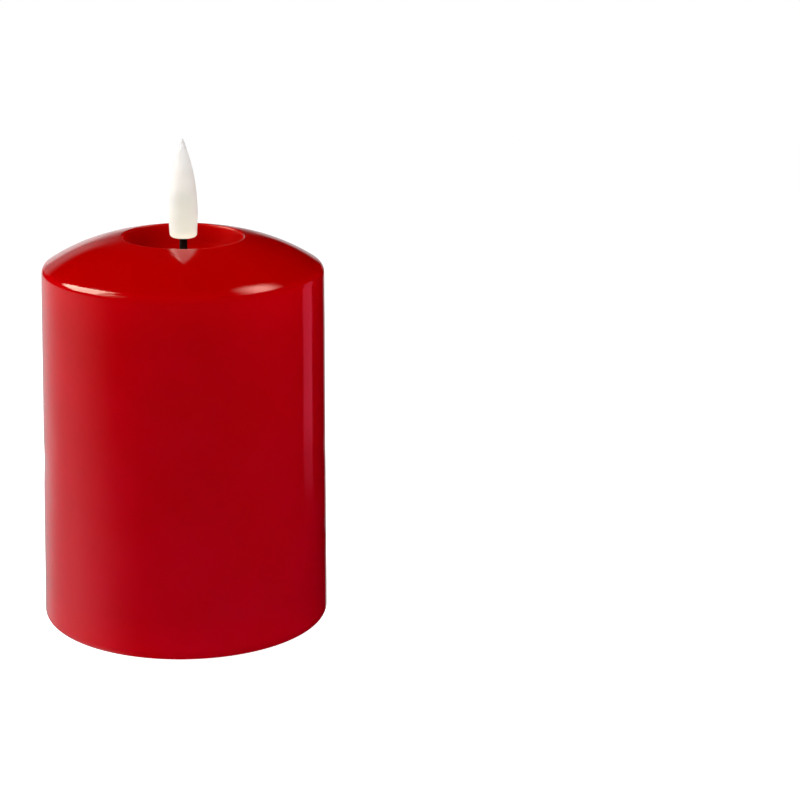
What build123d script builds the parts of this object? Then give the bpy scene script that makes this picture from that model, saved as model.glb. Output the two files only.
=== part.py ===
"""Flameless LED candle: a hollow wax pillar with a hinged battery door, a slide switch and an LED flame.

Millimetres. +Z is up, the candle's axis is Z, and the origin is where that axis meets the surface the
candle stands on. The switch is on the +Y side and the battery door's hinge runs along X on the -Y side.
Each function makes one named piece, and the last lines write every piece to parts/NAME.step.
"""

import math
import os

from build123d import *

# ---- wax pillar ----
FOOT_STANDOFF = 0.4  # the wax ends this far above the surface
BODY_BOTTOM_R = 38.0
BODY_TOP_R = 36.65  # drafted so that the casting leaves its mould
SHOULDER_Z = 95.4  # where the side and the dome would meet unrounded
SHOULDER_FILLET = 2.2
BOTTOM_FILLET = 1.6
RIM_Z = 103.5
RIM_R = 15.75
RIM_FILLET = 0.5
DOME_SAGITTA = 1.3  # how far the dome bulges above a straight cone
WELL_FLOOR_Z = 96.0
WELL_WALL_FOOT = (13.0, 96.6)
WELL_FILLET = 5.0
CAVITY_BOTTOM_R = 34.0
CAVITY_TOP_R = 32.4
CAVITY_ROOF_Z = 91.0
CAVITY_FILLET = 5.0
REBATE_R = 35.2  # the base plate sits in this rebate

# ---- wick and flame ----
SLEEVE_R, SLEEVE_BORE_R = 1.05, 0.68
BUSHING_FLANGE_R, BUSHING_NECK_R = 5.5, 2.5
BUSHING_FLANGE_T = 1.6
BUSHING_TOP_Z = 94.4
FLAME_BOTTOM_Z = 103.2
FLAME_TIP_Z = 128.8
FLAME_R = 3.8
FLAME_WAIST_Z = 109.5  # widest height, where the ogive starts
FLAME_FOOT_R = 3.5
FLAME_FOOT_FILLET = 0.9
FLAME_TIP_R = 0.25
FLAME_SEAT_R = 2.5  # the plug's seat, below the bore
FLAME_SEAT_T = 1.4
FLAME_BORE_R = 2.3
FLAME_BORE_TOP_Z = 113.0
LED_R, LED_RIM_R = 1.5, 1.65
LED_BOTTOM_Z, LED_LENGTH = 105.0, 4.9
LEG_R, LEG_X = 0.22, 0.35
JOINT_X, JOINT_Z = 1.0, 83.0  # where the LED's legs meet the wires

# ---- base plate and battery bay ----
PLATE_R = 35.0
PLATE_Z0, PLATE_Z1 = 0.8, 3.4
BAY_X, BAY_Y = 27.9, 15.0  # half sizes of the bay's inside
BAY_CEILING_Z = 18.5
WALL = 1.3
CEILING_T = 1.5
SCREW_X, SCREW_Y = 22.5, 21.0
FOOT_X, FOOT_Y = 12.9, 27.6
FOOT_R, FOOT_T = 3.0, 1.4

# ---- battery door ----
DOOR_X = 28.5
DOOR_GAP = 0.3
DOOR_T = 2.5
HINGE_Y = -14.65
HINGE_Z = PLATE_Z0 + DOOR_T / 2
DOOR_FREE_Y = 15.6
DOOR_SKIN = 1.6
DOOR_RIB = 1.2
PIN_R, PIN_LENGTH = 0.8, 1.2
PIN_CLEARANCE = 0.05
LATCH_X = 5.0  # half width of the latch tongue
LATCH_TOP_Z = 5.6
LATCH_T = 0.8

# ---- AA cells ----
CELL_R, CELL_LENGTH = 7.25, 50.5
NUB_R, NUB_LENGTH = 2.75, 1.2
CELL_Y = 7.4
CELL_Z = PLATE_Z1 + 0.5 + CELL_R
CELL_TIP_X = 26.5  # the positive tip; the can's flat end is at CELL_TIP_X - CELL_LENGTH
CONTACT_T = 0.4
TAB_TOP_Z = 23.0
SPRING_WIRE_R = 0.35

# ---- circuit board and switch ----
BOARD_X, BOARD_Y0, BOARD_Y1 = 14.5, 17.4, 28.2
BOARD_Z0, BOARD_Z1 = 9.0, 10.2
BOARD_SCREW = (11.5, 25.4)
SWITCH_Y = 24.0
SWITCH_TRAVEL = 2.0
KNOB_X, KNOB_Y = 2.4, 1.4
LEVER_X, LEVER_Y = 0.8, 0.75
WIRE_R = 0.55
LED_WIRE_X = (0.6, 2.6)  # the two LED wires' pads on the board
PAD_Y = 19.2

UP = (Align.CENTER, Align.CENTER, Align.MIN)


def block(x0, x1, y0, y1, z0, z1):
    """A box between two corners."""
    return Pos((x0 + x1) / 2, (y0 + y1) / 2, (z0 + z1) / 2) * Box(x1 - x0, y1 - y0, z1 - z0)


def disc(x, y, z0, z1, radius):
    """An upright cylinder."""
    return Pos(x, y, z0) * Cylinder(radius, z1 - z0, align=UP)


def rod_x(x0, x1, y, z, radius):
    """A cylinder along X."""
    lying = Rot(0, 90, 0) * Cylinder(radius, x1 - x0)
    return Pos((x0 + x1) / 2, y, z) * lying


def turned(*edges):
    """The solid that a closed outline in (radius, height) sweeps round the candle's axis."""
    outline = Plane.XZ * make_face(Curve() + [*edges])
    return revolve(outline, Axis.Z)


def round_rim(solid, radius_at, z_at, fillet_radius):
    """Rounds the circular edge of that radius and height."""
    rims = [
        e
        for e in solid.edges().filter_by(GeomType.CIRCLE)
        if abs(e.radius - radius_at) < 0.02 and abs(e.center().Z - z_at) < 0.02
    ]
    return fillet(rims, fillet_radius)


def four(x, y):
    """A point's four mirror images in X and Y."""
    return [(sx * x, sy * y) for sx in (1, -1) for sy in (1, -1)]


def group(solids):
    """Several loose solids as one node."""
    return Compound(children=[s.solid() for s in solids])


# ---------------------------------------------------------------- wax and flame
def wax_shell():
    """The cast pillar: drafted side, domed top with a well, and a cavity open at the bottom."""
    rim, shoulder, floor = (RIM_R, RIM_Z), (BODY_TOP_R, SHOULDER_Z), (0, WELL_FLOOR_Z)
    foot = (BODY_BOTTOM_R, FOOT_STANDOFF)
    body = turned(
        Polyline((0, FOOT_STANDOFF), foot, shoulder),
        SagittaArc(shoulder, rim, -DOME_SAGITTA),
        Polyline(rim, WELL_WALL_FOOT, floor, (0, FOOT_STANDOFF)),
    )
    body = round_rim(body, *WELL_WALL_FOOT, WELL_FILLET)
    body = round_rim(body, *rim, RIM_FILLET)
    body = round_rim(body, *shoulder, SHOULDER_FILLET)
    body = round_rim(body, *foot, BOTTOM_FILLET)
    cavity = turned(
        Polyline(
            (0, PLATE_Z1),
            (CAVITY_BOTTOM_R, PLATE_Z1),
            (CAVITY_TOP_R, CAVITY_ROOF_Z),
            (0, CAVITY_ROOF_Z),
            (0, PLATE_Z1),
        )
    )
    cavity = round_rim(cavity, CAVITY_TOP_R, CAVITY_ROOF_Z, CAVITY_FILLET)
    rebate = disc(0, 0, FOOT_STANDOFF, PLATE_Z1, REBATE_R)
    bushing_hole = disc(0, 0, CAVITY_ROOF_Z, BUSHING_TOP_Z, BUSHING_NECK_R + 0.1)
    wick_hole = disc(0, 0, BUSHING_TOP_Z, WELL_FLOOR_Z + 1, SLEEVE_R + 0.1)
    return body - cavity - rebate - bushing_hole - wick_hole


def wick_bushing():
    """The flanged grommet pressed into the wax roof from inside."""
    flange_z = CAVITY_ROOF_Z - BUSHING_FLANGE_T
    bushing = disc(0, 0, flange_z, CAVITY_ROOF_Z, BUSHING_FLANGE_R)
    bushing += disc(0, 0, CAVITY_ROOF_Z, BUSHING_TOP_Z, BUSHING_NECK_R)
    return bushing - disc(0, 0, flange_z, BUSHING_TOP_Z, SLEEVE_R + 0.03)


def wick_sleeve():
    """The black tube that looks like a wick and carries the LED's legs."""
    bottom, top = CAVITY_ROOF_Z - BUSHING_FLANGE_T, FLAME_BOTTOM_Z + 1.2
    return disc(0, 0, bottom, top, SLEEVE_R) - disc(0, 0, bottom, top, SLEEVE_BORE_R)


def flame_lens():
    """The hollow bullet-shaped flame: a rounded foot, a slight taper down from the waist, an ogive above."""
    waist, tip = (FLAME_R, FLAME_WAIST_Z), (FLAME_TIP_R, FLAME_TIP_Z - FLAME_TIP_R)
    rise = tip[1] - waist[1]
    shrink = waist[0] - tip[0]
    ogive_r = (rise**2 + shrink**2) / (2 * shrink)  # the arc that leaves the waist upright
    half_turn = math.asin(rise / ogive_r) / 2
    belly = (
        waist[0] - ogive_r * (1 - math.cos(half_turn)),
        waist[1] + ogive_r * math.sin(half_turn),
    )
    lens = turned(
        Polyline((0, FLAME_BOTTOM_Z), (FLAME_FOOT_R, FLAME_BOTTOM_Z), waist),
        ThreePointArc(waist, belly, tip),
        RadiusArc(tip, (0, FLAME_TIP_Z), -FLAME_TIP_R),
        Line((0, FLAME_TIP_Z), (0, FLAME_BOTTOM_Z)),
    )
    lens = round_rim(lens, FLAME_FOOT_R, FLAME_BOTTOM_Z, FLAME_FOOT_FILLET)
    bore = disc(0, 0, FLAME_BOTTOM_Z, FLAME_BORE_TOP_Z, FLAME_BORE_R)
    bore += Pos(0, 0, FLAME_BORE_TOP_Z) * Sphere(FLAME_BORE_R)
    seat = disc(0, 0, FLAME_BOTTOM_Z, FLAME_BOTTOM_Z + FLAME_SEAT_T, FLAME_SEAT_R)
    return lens - bore - seat


def flame_plug():
    """The disc that closes the flame's bore and grips the sleeve."""
    z0 = FLAME_BOTTOM_Z + 0.1
    plug = disc(0, 0, z0, z0 + 1.2, FLAME_SEAT_R - 0.03)
    return plug - disc(0, 0, z0, z0 + 1.2, SLEEVE_R + 0.03)


def flame_led():
    """A 3 mm LED with its rim and domed end."""
    barrel_top = LED_BOTTOM_Z + LED_LENGTH - LED_R
    led = disc(0, 0, LED_BOTTOM_Z, barrel_top, LED_R) + disc(0, 0, LED_BOTTOM_Z, LED_BOTTOM_Z + 0.8, LED_RIM_R)
    return led + Pos(0, 0, barrel_top) * Sphere(LED_R)


def swept(points, radii, radius):
    """A round wire along straight runs joined by arcs."""
    path = FilletPolyline(*points, radius=radii)
    section = Plane(origin=path @ 0, z_dir=path % 0) * Circle(radius)
    return sweep(section, path=path)


def corner_radii(points, share=0.45):
    """The largest arc that each corner's two runs allow, with share of the shorter run on each side."""
    found = []
    for before, at, after in zip(points, points[1:], points[2:]):
        run_in, run_out = Vector(*at) - Vector(*before), Vector(*after) - Vector(*at)
        turn = math.radians(run_in.get_angle(run_out))
        found.append(share * min(run_in.length, run_out.length) / math.tan(turn / 2))
    return found


def led_legs():
    """Two stiff legs down through the sleeve, fanned out below the bushing."""
    fan_top, fan_bottom = 88.0, 85.6
    legs = []
    for side in (1, -1):
        points = [
            (side * LEG_X, 0, LED_BOTTOM_Z),
            (side * LEG_X, 0, fan_top),
            (side * JOINT_X, 0, fan_bottom),
            (side * JOINT_X, 0, JOINT_Z),
        ]
        legs.append(swept(points, corner_radii(points), LEG_R))
    return group(legs)


def solder_sleeves():
    """The heat-shrink tubes over the two solder joints."""
    low, high = JOINT_Z - 2.4, JOINT_Z + 1.8
    return group(
        disc(side * JOINT_X, 0, low, high, WIRE_R + 0.25) - disc(side * JOINT_X, 0, low, high, WIRE_R + 0.03)
        for side in (1, -1)
    )


# ---------------------------------------------------------------- base unit
def door_opening():
    """The space the door fills in the base plate, with its running gap all round."""
    x = DOOR_X + DOOR_GAP
    y0, y1 = HINGE_Y - DOOR_T / 2 - DOOR_GAP, DOOR_FREE_Y + DOOR_GAP
    return block(-x, x, y0, y1, PLATE_Z0, PLATE_Z1)


def switch_marks(z0, z1):
    """Bar, ring and clock symbols beside the switch's three stops."""
    y, ring_r, stroke, spacing = 30.6, 1.1, 0.45, 4.2
    marks = [block(-spacing - stroke / 2, -spacing + stroke / 2, y - ring_r, y + ring_r, z0, z1)]
    for x in (0, spacing):
        marks.append(disc(x, y, z0, z1, ring_r) - disc(x, y, z0, z1, ring_r - stroke))
    marks.append(block(spacing - stroke / 2, spacing + stroke / 2, y - 0.1, y + ring_r - stroke, z0, z1))
    return marks


def base_housing():
    """The moulded base: a round plate with the battery bay standing on it, open underneath."""
    housing = disc(0, 0, PLATE_Z0, PLATE_Z1, PLATE_R)
    housing = round_rim(housing, PLATE_R, PLATE_Z0, 0.5)
    outer_x, outer_y = BAY_X + WALL, BAY_Y + WALL
    walls = block(-outer_x, outer_x, -outer_y, outer_y, PLATE_Z1, BAY_CEILING_Z + CEILING_T)
    housing += fillet(walls.edges().filter_by(Axis.Z), 1.5)
    for x in (-BOARD_SCREW[0], BOARD_SCREW[0]):
        housing += disc(x, BOARD_SCREW[1], PLATE_Z1, BOARD_Z0, 2.2)
        housing -= disc(x, BOARD_SCREW[1], PLATE_Z1 + 0.4, BOARD_Z0, 0.85)
    housing -= block(-BAY_X, BAY_X, -BAY_Y, BAY_Y, PLATE_Z1, BAY_CEILING_Z)
    housing -= door_opening()
    # hinge sockets, latch window and finger scoop
    socket_x = DOOR_X + DOOR_GAP + PIN_LENGTH
    housing -= rod_x(-socket_x, socket_x, HINGE_Y, HINGE_Z, PIN_R + PIN_CLEARANCE)
    window_x = LATCH_X + 1.0
    housing -= block(-window_x, window_x, BAY_Y - 1, outer_y, PLATE_Z1, LATCH_TOP_Z + 1.2)
    scoop_y = DOOR_FREE_Y + DOOR_GAP
    scoop = Pos(0, scoop_y, PLATE_Z0) * Rot(0, 90, 0) * Cylinder(1.7, 2 * window_x - 2)
    housing -= scoop
    # contact tab slots in the ceiling
    for y in (CELL_Y, -CELL_Y):
        housing -= block(BAY_X - CONTACT_T - 0.15, BAY_X, y - 1.8, y + 1.8, BAY_CEILING_Z, BAY_CEILING_Z + CEILING_T)
    # switch recess, slot and marks
    housing -= block(-8.5, 8.5, SWITCH_Y - 3.3, SWITCH_Y + 3.3, PLATE_Z0, PLATE_Z0 + 1.1)
    slot_x = KNOB_X + SWITCH_TRAVEL + 0.4
    housing -= block(-slot_x, slot_x, SWITCH_Y - KNOB_Y - 0.2, SWITCH_Y + KNOB_Y + 0.2, PLATE_Z0, PLATE_Z1)
    for mark in switch_marks(PLATE_Z0, PLATE_Z0 + 0.3):
        housing -= mark
    # screw counterbores and foot recesses
    for x, y in four(SCREW_X, SCREW_Y):
        housing -= disc(x, y, PLATE_Z0, PLATE_Z1, 1.2)
        housing -= disc(x, y, PLATE_Z0, PLATE_Z0 + 1.4, 2.4)
    for x, y in four(FOOT_X, FOOT_Y):
        housing -= disc(x, y, PLATE_Z0, FOOT_T, FOOT_R + 0.1)
    return housing


def mounting_ring():
    """The ring glued inside the wax, with four legs that take the base screws."""
    z0, z1 = 20.6, 23.4
    leg_r = 2.6
    ring = disc(0, 0, z0, z1, 33.4) - disc(0, 0, z0, z1, 30.0)
    for x, y in four(SCREW_X, SCREW_Y):
        ring += disc(x, y, PLATE_Z1, z1, leg_r)
    for x, y in four(SCREW_X, SCREW_Y):
        ring -= disc(x, y, PLATE_Z1, 14.0, 1.0)
    return ring


def cross_recess(x, y, z_face, depth, size, direction):
    """A cross-head driver's recess, cut from z_face in the direction given (+1 up, -1 down)."""
    low, high = sorted((z_face, z_face + direction * depth))
    arm = 0.45
    return block(x - size, x + size, y - arm / 2, y + arm / 2, low, high) + block(
        x - arm / 2, x + arm / 2, y - size, y + size, low, high
    )


def base_screws():
    """Four pan-head screws, heads down in the base plate's counterbores."""
    seat_z, head_r, head_t = PLATE_Z0 + 1.4, 2.1, 1.2
    screws = []
    for x, y in four(SCREW_X, SCREW_Y):
        head = disc(x, y, seat_z - head_t, seat_z, head_r)
        head = fillet(head.edges().filter_by(GeomType.CIRCLE).sort_by(Axis.Z)[0], 0.5)
        screw = head + disc(x, y, seat_z, seat_z + 9.5, 0.95)
        screws.append(screw - cross_recess(x, y, seat_z - head_t, 0.7, 1.1, 1))
    return group(screws)


def feet():
    """Four soft pads that the candle stands on."""
    pads = []
    for x, y in four(FOOT_X, FOOT_Y):
        pad = disc(x, y, 0, FOOT_T, FOOT_R)
        pads.append(fillet(pad.edges().filter_by(GeomType.CIRCLE).sort_by(Axis.Z)[0], 0.3))
    return group(pads)


def battery_door():
    """The hinged door: a ribbed plate with a round hinge edge, two pins and a folded latch tongue."""
    z0, z1 = PLATE_Z0, PLATE_Z0 + DOOR_T
    skin_z = z0 + DOOR_SKIN
    door = block(-DOOR_X, DOOR_X, HINGE_Y, DOOR_FREE_Y, z0, z1)
    door += rod_x(-DOOR_X, DOOR_X, HINGE_Y, HINGE_Z, DOOR_T / 2)
    pocket_x, pocket_y1 = DOOR_X - DOOR_RIB, DOOR_FREE_Y - 4.2
    pocket = block(-pocket_x, pocket_x, HINGE_Y + DOOR_T / 2 + 0.6, pocket_y1, skin_z, z1)
    door -= fillet(pocket.edges().filter_by(Axis.Z), 1.5)
    door += rod_x(DOOR_X, DOOR_X + PIN_LENGTH, HINGE_Y, HINGE_Z, PIN_R)
    door += rod_x(-DOOR_X - PIN_LENGTH, -DOOR_X, HINGE_Y, HINGE_Z, PIN_R)
    # latch: a gap in the free edge, and a tongue folded over from its inner side
    gap_x, gap_y = LATCH_X + 0.6, DOOR_FREE_Y - 3.2
    door -= block(-gap_x, gap_x, gap_y + LATCH_T, DOOR_FREE_Y, z0, z1)
    outer_y = 15.0
    tongue = block(-LATCH_X, LATCH_X, gap_y, gap_y + LATCH_T, z0, LATCH_TOP_Z)
    tongue += block(-LATCH_X, LATCH_X, gap_y, outer_y, LATCH_TOP_Z - LATCH_T, LATCH_TOP_Z)
    tongue += block(-LATCH_X, LATCH_X, outer_y - LATCH_T, outer_y, z0 + 0.3, LATCH_TOP_Z)
    hook_z = PLATE_Z1 + 0.1
    hook = Plane.YZ * make_face(
        Polyline((outer_y, hook_z), (outer_y + 0.65, hook_z), (outer_y, hook_z + 1.2), (outer_y, hook_z))
    )
    tongue += extrude(hook, LATCH_X, both=True)
    door += tongue
    # finger grooves outside, and polarity marks inside
    for step in range(3):
        y = gap_y - 1.6 - 1.5 * step
        door -= block(-LATCH_X, LATCH_X, y - 0.4, y + 0.4, z0, z0 + 0.35)
    for y, plus_x in ((CELL_Y, 1), (-CELL_Y, -1)):
        mark_x, half, stroke = 18.0, 2.2, 0.45
        for x in (mark_x, -mark_x):
            door -= block(x - half, x + half, y - stroke, y + stroke, skin_z - 0.3, skin_z)
        x = plus_x * mark_x
        door -= block(x - stroke, x + stroke, y - half, y + half, skin_z - 0.3, skin_z)
    return door


# ---------------------------------------------------------------- cells and contacts
def cell(y, toward):
    """One AA cell along X, its positive tip toward +X (1) or -X (-1)."""
    can_x0, can_x1 = CELL_TIP_X - CELL_LENGTH, CELL_TIP_X - NUB_LENGTH
    can = rod_x(can_x0, can_x1, y, CELL_Z, CELL_R)
    can = fillet(can.edges().filter_by(GeomType.CIRCLE), 0.6)
    can += rod_x(can_x1, CELL_TIP_X, y, CELL_Z, NUB_R)
    return can if toward > 0 else mirror(can, Plane.YZ)


def contact_plate(x_side, y0, y1):
    """A contact's flat blade against an end wall."""
    x0, x1 = sorted((x_side * (BAY_X - CONTACT_T), x_side * BAY_X))
    return block(x0, x1, y0, y1, CELL_Z - 5.5, CELL_Z + 5.5)


def contact_button(x_side, y):
    """The raised button that meets a cell's positive tip."""
    x0, x1 = sorted((x_side * (CELL_TIP_X + 0.02), x_side * (BAY_X - CONTACT_T)))
    return rod_x(x0, x1, y, CELL_Z, 2.0)


def contact_tab(y):
    """The solder tab that passes up through the bay's ceiling."""
    return block(BAY_X - CONTACT_T, BAY_X, y - 1.5, y + 1.5, CELL_Z + 5.5, TAB_TOP_Z)


def positive_contact():
    return contact_plate(1, CELL_Y - 4.5, CELL_Y + 4.5) + contact_button(1, CELL_Y) + contact_tab(CELL_Y)


def negative_contact():
    return contact_plate(1, -CELL_Y - 4.5, -CELL_Y + 4.5) + contact_tab(-CELL_Y)


def bridge_contact():
    """The blade that joins one cell's positive end to the other's negative end."""
    return contact_plate(-1, -CELL_Y - 4.5, CELL_Y + 4.5) + contact_button(-1, -CELL_Y)


def conical_spring(x_side, y):
    """A conical coil between a blade and a cell's flat end."""
    flat_end = CELL_LENGTH - CELL_TIP_X
    height = BAY_X - CONTACT_T - flat_end - 2 * SPRING_WIRE_R - 0.04
    base_r, top_r, turns = 4.4, 2.2, 3
    cone = -math.degrees(math.atan((base_r - top_r) / height))
    start_x = BAY_X - CONTACT_T - SPRING_WIRE_R - 0.02
    coil = Helix(height / turns, height, base_r, cone_angle=cone)
    wire = sweep(Plane(origin=coil @ 0, z_dir=coil % 0) * Circle(SPRING_WIRE_R), path=coil, is_frenet=True)
    return Pos(x_side * start_x, y, CELL_Z) * Rot(0, -90 * x_side, 0) * wire


# ---------------------------------------------------------------- electronics
def circuit_board():
    board = block(-BOARD_X, BOARD_X, BOARD_Y0, BOARD_Y1, BOARD_Z0, BOARD_Z1)
    board = fillet(board.edges().filter_by(Axis.Z), 1.0)
    for x in (-BOARD_SCREW[0], BOARD_SCREW[0]):
        board -= disc(x, BOARD_SCREW[1], BOARD_Z0, BOARD_Z1, 1.1)
    for x in (-2.5, 0, 2.5):
        board -= disc(x, SWITCH_Y, BOARD_Z0, BOARD_Z1, 0.4)
    return board


def board_screws():
    """Two small pan-head screws through the board into the housing's posts."""
    screws = []
    for x in (-BOARD_SCREW[0], BOARD_SCREW[0]):
        y = BOARD_SCREW[1]
        screw = disc(x, y, BOARD_Z1, BOARD_Z1 + 1.1, 1.8) + disc(x, y, BOARD_Z1 - 5, BOARD_Z1, 0.8)
        screws.append(screw - cross_recess(x, y, BOARD_Z1 + 1.1, 0.6, 0.9, -1))
    return group(screws)


def switch_body():
    """The slide switch's can, soldered under the board, with a slot for its lever."""
    can = block(-4.4, 4.4, SWITCH_Y - 1.9, SWITCH_Y + 1.9, 5.4, BOARD_Z0)
    slot_x = LEVER_X + SWITCH_TRAVEL + 0.2
    return can - block(-slot_x, slot_x, SWITCH_Y - LEVER_Y - 0.1, SWITCH_Y + LEVER_Y + 0.1, 5.4, 7.4)


def switch_pins():
    return group(disc(x, SWITCH_Y, BOARD_Z0, BOARD_Z1 + 0.8, 0.3) for x in (-2.5, 0, 2.5))


def switch_lever():
    """The switch's own stem, which the knob's socket carries along."""
    return block(-LEVER_X, LEVER_X, SWITCH_Y - LEVER_Y, SWITCH_Y + LEVER_Y, 2.7, 7.2)


def switch_knob():
    """The sliding cap: a plate above the slot, a stem through it and ridges for a fingertip."""
    plate = block(-6.5, 6.5, SWITCH_Y - 2.7, SWITCH_Y + 2.7, PLATE_Z1 + 0.1, PLATE_Z1 + 1.1)
    stem_z = PLATE_Z0 + 0.2
    stem = block(-KNOB_X, KNOB_X, SWITCH_Y - KNOB_Y, SWITCH_Y + KNOB_Y, stem_z, PLATE_Z1 + 0.1)
    for step in range(-1, 2):
        x = 1.5 * step
        stem -= block(x - 0.35, x + 0.35, SWITCH_Y - KNOB_Y, SWITCH_Y + KNOB_Y, stem_z, stem_z + 0.45)
    socket_x, socket_y = LEVER_X + 0.05, LEVER_Y + 0.05
    socket = block(-socket_x, socket_x, SWITCH_Y - socket_y, SWITCH_Y + socket_y, 2.65, PLATE_Z1 + 1.1)
    return plate + stem - socket


CHIP = (-7.2, 20.4)


def timer_chip():
    x, y = CHIP
    return block(x - 2.45, x + 2.45, y - 1.5, y + 1.5, BOARD_Z1 + 0.15, BOARD_Z1 + 1.6)


def chip_legs():
    """Eight bent legs, four along each side of the chip."""
    legs = []
    for side in (-1, 1):
        for place in range(4):
            x = CHIP[0] - 1.905 + 1.27 * place
            near, mid, far = (CHIP[1] + side * d for d in (1.5, 2.1, 2.6))
            shoulder = block(x - 0.2, x + 0.2, *sorted((near, mid)), BOARD_Z1 + 0.7, BOARD_Z1 + 0.9)
            inner = mid - side * 0.2
            drop = block(x - 0.2, x + 0.2, *sorted((inner, mid)), BOARD_Z1, BOARD_Z1 + 0.9)
            foot = block(x - 0.2, x + 0.2, *sorted((inner, far)), BOARD_Z1, BOARD_Z1 + 0.2)
            legs.append(shoulder + drop + foot)
    return group(legs)


def resistors():
    return group(block(5.2, 7.2, y - 0.62, y + 0.62, BOARD_Z1, BOARD_Z1 + 0.5) for y in (22.4, 24.6, 26.8))


def capacitor():
    """A small electrolytic can with a rounded top."""
    can = disc(12.0, 20.0, BOARD_Z1, BOARD_Z1 + 5.4, 2.0)
    return fillet(can.edges().filter_by(GeomType.CIRCLE).sort_by(Axis.Z)[-1], 0.3)


def clock_crystal():
    return rod_x(-7.0, -1.0, 27.0, BOARD_Z1 + 1.0, 1.0)


# ---------------------------------------------------------------- wires
TAB_FACE_X = BAY_X - CONTACT_T
TAB_SOLDER_Z = 21.9
WIRE_ROUTES = {
    "battery_wire_positive": [
        (TAB_FACE_X, CELL_Y, TAB_SOLDER_Z),
        (24.6, CELL_Y, TAB_SOLDER_Z),
        (20.2, 9.6, 22.8),
        (15.0, 14.6, 22.4),
        (10.6, 18.4, 19.4),
        (8.8, PAD_Y, 14.8),
        (8.8, PAD_Y, BOARD_Z1),
    ],
    "battery_wire_negative": [
        (TAB_FACE_X, -CELL_Y, TAB_SOLDER_Z),
        (24.0, -CELL_Y, TAB_SOLDER_Z),
        (18.6, -4.4, 22.9),
        (12.8, 2.2, 23.3),
        (8.6, 9.8, 23.4),
        (6.9, 16.6, 22.0),
        (6.2, PAD_Y, 16.0),
        (6.2, PAD_Y, BOARD_Z1),
    ],
    "led_wire_positive": [
        (LED_WIRE_X[1], PAD_Y, BOARD_Z1),
        (LED_WIRE_X[1], PAD_Y, 20.0),
        (4.4, 16.0, 32.0),
        (4.8, 8.5, 46.0),
        (2.4, 3.0, 60.0),
        (JOINT_X, 0, 72.0),
        (JOINT_X, 0, JOINT_Z),
    ],
    "led_wire_negative": [
        (LED_WIRE_X[0], PAD_Y, BOARD_Z1),
        (LED_WIRE_X[0], PAD_Y, 21.0),
        (-1.8, 15.0, 34.0),
        (-4.6, 8.0, 47.0),
        (-3.2, 1.6, 61.0),
        (-JOINT_X, 0, 72.5),
        (-JOINT_X, 0, JOINT_Z),
    ],
}


def wire(name):
    """One insulated wire along its route, with arcs as large as its runs allow."""
    points = WIRE_ROUTES[name]
    radii = corner_radii(points)
    print(name, "arc radii", [round(r, 1) for r in radii])
    return swept(points, radii, WIRE_R)


def main():
    pieces = {
        "wax_shell": wax_shell(),
        "wick_bushing": wick_bushing(),
        "wick_sleeve": wick_sleeve(),
        "flame_lens": flame_lens(),
        "flame_plug": flame_plug(),
        "flame_led": flame_led(),
        "led_legs": led_legs(),
        "solder_sleeves": solder_sleeves(),
        "base_housing": base_housing(),
        "mounting_ring": mounting_ring(),
        "base_screws": base_screws(),
        "feet": feet(),
        "battery_door": battery_door(),
        "battery_cell_1": cell(CELL_Y, 1),
        "battery_cell_2": cell(-CELL_Y, -1),
        "positive_contact": positive_contact(),
        "negative_contact": negative_contact(),
        "negative_spring": conical_spring(1, -CELL_Y),
        "bridge_contact": bridge_contact(),
        "bridge_spring": conical_spring(-1, CELL_Y),
        "circuit_board": circuit_board(),
        "board_screws": board_screws(),
        "switch_body": switch_body(),
        "switch_pins": switch_pins(),
        "switch_lever": switch_lever(),
        "switch_knob": switch_knob(),
        "timer_chip": timer_chip(),
        "chip_legs": chip_legs(),
        "resistors": resistors(),
        "capacitor": capacitor(),
        "clock_crystal": clock_crystal(),
    }
    for name in WIRE_ROUTES:
        pieces[name] = wire(name)
    os.makedirs("parts", exist_ok=True)
    for name, piece in pieces.items():
        export_step(piece, f"parts/{name}.step")


main()
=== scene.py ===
"""Looks for the flameless LED candle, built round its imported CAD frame.

Lengths are written in millimetres and turned into Blender's metres by MM. +Z is up, the candle's axis is
Z, the photograph was taken from the -Y side, and azimuths are degrees from there, positive towards +X.
An outline is a list of (radius, height) points.
"""

import math

import bpy
from mathutils import Matrix, Vector, noise

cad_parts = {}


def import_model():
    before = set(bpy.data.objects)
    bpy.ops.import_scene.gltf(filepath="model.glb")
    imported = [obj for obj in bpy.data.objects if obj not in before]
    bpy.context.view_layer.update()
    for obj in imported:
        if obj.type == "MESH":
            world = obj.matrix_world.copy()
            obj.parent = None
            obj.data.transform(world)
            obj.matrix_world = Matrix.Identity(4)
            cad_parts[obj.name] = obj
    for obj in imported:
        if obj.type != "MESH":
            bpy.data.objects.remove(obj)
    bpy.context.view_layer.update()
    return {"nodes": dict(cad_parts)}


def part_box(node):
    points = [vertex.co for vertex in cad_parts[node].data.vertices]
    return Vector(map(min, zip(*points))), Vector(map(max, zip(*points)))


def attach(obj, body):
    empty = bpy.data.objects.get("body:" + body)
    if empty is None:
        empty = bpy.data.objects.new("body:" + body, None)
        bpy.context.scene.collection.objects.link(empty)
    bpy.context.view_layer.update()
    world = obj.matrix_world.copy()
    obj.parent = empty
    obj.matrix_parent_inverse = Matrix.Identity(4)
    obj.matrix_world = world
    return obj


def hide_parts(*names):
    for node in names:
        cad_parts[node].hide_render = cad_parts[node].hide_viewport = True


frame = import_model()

MM = 0.001

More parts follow.
